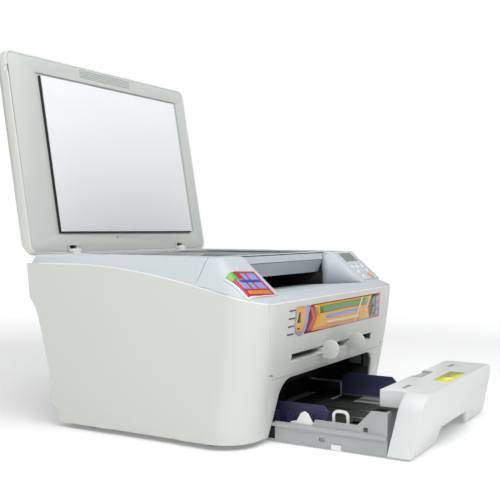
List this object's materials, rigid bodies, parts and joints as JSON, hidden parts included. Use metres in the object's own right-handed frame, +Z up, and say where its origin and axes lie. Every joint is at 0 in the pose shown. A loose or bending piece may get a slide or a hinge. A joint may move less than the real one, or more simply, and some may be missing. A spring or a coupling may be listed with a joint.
{
  "type": "multifunction laser printer",
  "caption": "Compact desktop printer, scanner and copier with a raised flatbed lid, a recessed output tray, a manual feed slot and a pulled-out paper cassette.",
  "frame": {"origin": "on the surface the feet stand on, at the centre of the outline of the rest pose, with the lid open and the cassette pulled out", "axes": "+X to the machine's right as seen by someone facing its front, +Y towards its rear, +Z up"},
  "size_m": [0.409, 0.5563, 0.4716],
  "materials": {
    "frame_plastic": "matte glass-filled",
    "black_plastic": "matte",
    "shell_plastic": "fine satin grain",
    "top_plastic": "fine satin grain",
    "display_glass": "gloss",
    "scanner_plastic": "fine matte grain",
    "platen_glass": "clear",
    "steel": "turned",
    "belt_rubber": "matte",
    "hinge_plastic": "satin",
    "board": "solder mask",
    "foot_rubber": "matte",
    "guide_plastic": "satin",
    "button_plastic": "satin",
    "orange_plastic": "satin",
    "gear_plastic": "satin",
    "lid_plastic": "fine satin grain",
    "foam": "open-cell foam",
    "white_sheet": "smooth sheet",
    "drum_coating": "gloss coating",
    "roller_rubber": "ground rubber",
    "heat_coating": "non-stick coating",
    "brass": "machined",
    "cassette_plastic": "fine matte grain",
    "cassette_white": "smooth satin",
    "pad_holder_plastic": "matte",
    "lift_metal": "coated sheet steel",
    "navy_plastic": "satin",
    "clip_plastic": "satin"
  },
  "bodies": {
    "machine": {"left_frame": "frame_plastic", "right_frame": "frame_plastic", "rear_frame": "frame_plastic", "feed_plate": "black_plastic", "left_cover": "shell_plastic", "right_cover": "shell_plastic", "front_bezel": "shell_plastic", "rear_cover": "shell_plastic", "top_cover": "top_plastic", "control_panel": "top_plastic", "display": "display_glass", "scanner_tub": "scanner_plastic", "platen_frame": "top_plastic", "platen_glass": "platen_glass", "scan_rod": "steel", "scan_belt": "belt_rubber", "scan_motor": "steel", "hinge_brackets": "hinge_plastic", "toner_cartridge": "black_plastic", "laser_unit": "black_plastic", "fuser_housing": "black_plastic", "main_board": "board", "power_supply": "board", "power_inlet": "black_plastic", "drive_motor": "steel", "rubber_feet": "foot_rubber", "cover_screws": "steel"},
    "lid": {"lid_cover": "shell_plastic", "lid_panel": "lid_plastic", "pad_foam": "foam", "white_pad": "white_sheet"},
    "front_door": {"front_cover": "shell_plastic"},
    "left_manual": {"left_manual_guide": "guide_plastic"},
    "right_manual": {"right_manual_guide": "guide_plastic"},
    "rear_flap": {"rear_door": "shell_plastic"},
    "menu_key": {"menu_button": "button_plastic"},
    "scroll_left_key": {"scroll_left_button": "button_plastic"},
    "scroll_right_key": {"scroll_right_button": "button_plastic"},
    "copies_key": {"copies_button": "button_plastic"},
    "contrast_key": {"contrast_button": "button_plastic"},
    "start_key": {"start_button": "button_plastic"},
    "stop_key": {"stop_button": "orange_plastic"},
    "carriage": {"scan_carriage": "black_plastic"},
    "pulley": {"scan_pulley": "gear_plastic"},
    "drum": {"photo_drum": "drum_coating"},
    "transfer": {"transfer_roller": "roller_rubber"},
    "heater": {"heat_roller": "heat_coating"},
    "presser": {"pressure_roller": "roller_rubber"},
    "pickup": {"pickup_roller": "roller_rubber"},
    "exit": {"exit_roller": "roller_rubber"},
    "idler": {"drive_gear": "gear_plastic"},
    "pinion": {"motor_pinion": "brass"},
    "cassette": {"cassette_tub": "cassette_plastic", "cassette_front": "cassette_white", "separation_pad": "pad_holder_plastic", "cassette_clips": "clip_plastic"},
    "lifter": {"lift_plate": "lift_metal"},
    "left_guide": {"left_paper_guide": "navy_plastic"},
    "right_guide": {"right_paper_guide": "navy_plastic"},
    "extension": {"cassette_extension": "cassette_plastic"}
  },
  "joints": [
    {"name": "lid_hinge", "type": "hinge", "parent": "machine", "child": "lid", "pos_m": [0, 0.21147, 0.2105], "axis": [1, 0, 0], "range_deg": [0, 100]},
    {"name": "front_cover_hinge", "type": "hinge", "parent": "machine", "child": "front_door", "pos_m": [0, -0.1113, 0.0772], "axis": [1, 0, 0], "range_deg": [0, 88]},
    {"name": "left_manual_slide", "type": "slide", "parent": "front_door", "child": "left_manual", "axis": [-1, 0, 0], "range_m": [0, 0.06]},
    {"name": "right_manual_slide", "type": "slide", "parent": "front_door", "child": "right_manual", "axis": [1, 0, 0], "range_m": [0, 0.06]},
    {"name": "rear_door_hinge", "type": "hinge", "parent": "machine", "child": "rear_flap", "pos_m": [0, 0.17354, 0.0702], "axis": [-1, 0, 0], "range_deg": [0, 80]},
    {"name": "menu_press", "type": "slide", "parent": "machine", "child": "menu_key", "axis": [0, 0.6552, -0.7554], "range_m": [0, 0.001], "stiffness_N_per_m": 300},
    {"name": "scroll_left_press", "type": "slide", "parent": "machine", "child": "scroll_left_key", "axis": [0, 0.6552, -0.7554], "range_m": [0, 0.001], "stiffness_N_per_m": 300},
    {"name": "scroll_right_press", "type": "slide", "parent": "machine", "child": "scroll_right_key", "axis": [0, 0.6552, -0.7554], "range_m": [0, 0.001], "stiffness_N_per_m": 300},
    {"name": "copies_press", "type": "slide", "parent": "machine", "child": "copies_key", "axis": [0, 0.6552, -0.7554], "range_m": [0, 0.001], "stiffness_N_per_m": 300},
    {"name": "contrast_press", "type": "slide", "parent": "machine", "child": "contrast_key", "axis": [0, 0.6552, -0.7554], "range_m": [0, 0.001], "stiffness_N_per_m": 300},
    {"name": "start_press", "type": "slide", "parent": "machine", "child": "start_key", "axis": [0, 0.6552, -0.7554], "range_m": [0, 0.001], "stiffness_N_per_m": 300},
    {"name": "stop_press", "type": "slide", "parent": "machine", "child": "stop_key", "axis": [0, 0.6552, -0.7554], "range_m": [0, 0.001], "stiffness_N_per_m": 300},
    {"name": "scan_travel", "type": "slide", "parent": "machine", "child": "carriage", "axis": [1, 0, 0], "range_m": [0, 0.316]},
    {"name": "pulley_spin", "type": "hinge", "parent": "machine", "child": "pulley", "pos_m": [0.1585, 0.19237, 0.195], "axis": [0, 0, 1], "range_deg": [0, 3200]},
    {"name": "idler_spin", "type": "hinge", "parent": "machine", "child": "idler", "pos_m": [0, 0.06137, 0.118], "axis": [1, 0, 0], "continuous": true},
    {"name": "drum_spin", "type": "hinge", "parent": "machine", "child": "drum", "pos_m": [0, 0.00145, 0.09853], "axis": [1, 0, 0], "continuous": true},
    {"name": "heater_spin", "type": "hinge", "parent": "machine", "child": "heater", "pos_m": [0, 0.12104, 0.11173], "axis": [1, 0, 0], "continuous": true},
    {"name": "pinion_spin", "type": "hinge", "parent": "machine", "child": "pinion", "pos_m": [0, 0.08837, 0.07124], "axis": [1, 0, 0], "continuous": true},
    {"name": "transfer_spin", "type": "hinge", "parent": "machine", "child": "transfer", "pos_m": [0, 0.00145, 0.07563], "axis": [1, 0, 0], "continuous": true},
    {"name": "presser_spin", "type": "hinge", "parent": "machine", "child": "presser", "pos_m": [0, 0.12104, 0.08733], "axis": [1, 0, 0], "continuous": true},
    {"name": "exit_spin", "type": "hinge", "parent": "machine", "child": "exit", "pos_m": [0, 0.14537, 0.165], "axis": [1, 0, 0], "continuous": true},
    {"name": "pickup_spin", "type": "hinge", "parent": "machine", "child": "pickup", "pos_m": [0, -0.03763, 0.067], "axis": [1, 0, 0], "continuous": true},
    {"name": "cassette_slide", "type": "slide", "parent": "machine", "child": "cassette", "axis": [0, 1, 0], "range_m": [0, 0.168]},
    {"name": "lift_hinge", "type": "hinge", "parent": "cassette", "child": "lifter", "pos_m": [0, -0.07363, 0.009], "axis": [-1, 0, 0], "range_deg": [0, 8]},
    {"name": "left_guide_slide", "type": "slide", "parent": "cassette", "child": "left_guide", "axis": [1, 0, 0], "range_m": [0, 0.031]},
    {"name": "right_guide_slide", "type": "slide", "parent": "cassette", "child": "right_guide", "axis": [-1, 0, 0], "range_m": [0, 0.031]},
    {"name": "extension_slide", "type": "slide", "parent": "cassette", "child": "extension", "axis": [0, 1, 0], "range_m": [0, 0.085]}
  ],
  "couplings": [
    {"joint": "right_manual_slide", "follows": "left_manual_slide", "ratio": 1},
    {"joint": "pulley_spin", "follows": "scan_travel", "rad_per_m": 172.41},
    {"joint": "drum_spin", "follows": "idler_spin", "ratio": -2.5},
    {"joint": "heater_spin", "follows": "idler_spin", "ratio": -3},
    {"joint": "pinion_spin", "follows": "idler_spin", "ratio": -5},
    {"joint": "transfer_spin", "follows": "idler_spin", "ratio": 5},
    {"joint": "presser_spin", "follows": "idler_spin", "ratio": 3},
    {"joint": "exit_spin", "follows": "idler_spin", "ratio": -4.5},
    {"joint": "right_guide_slide", "follows": "left_guide_slide", "ratio": 1}
  ]
}
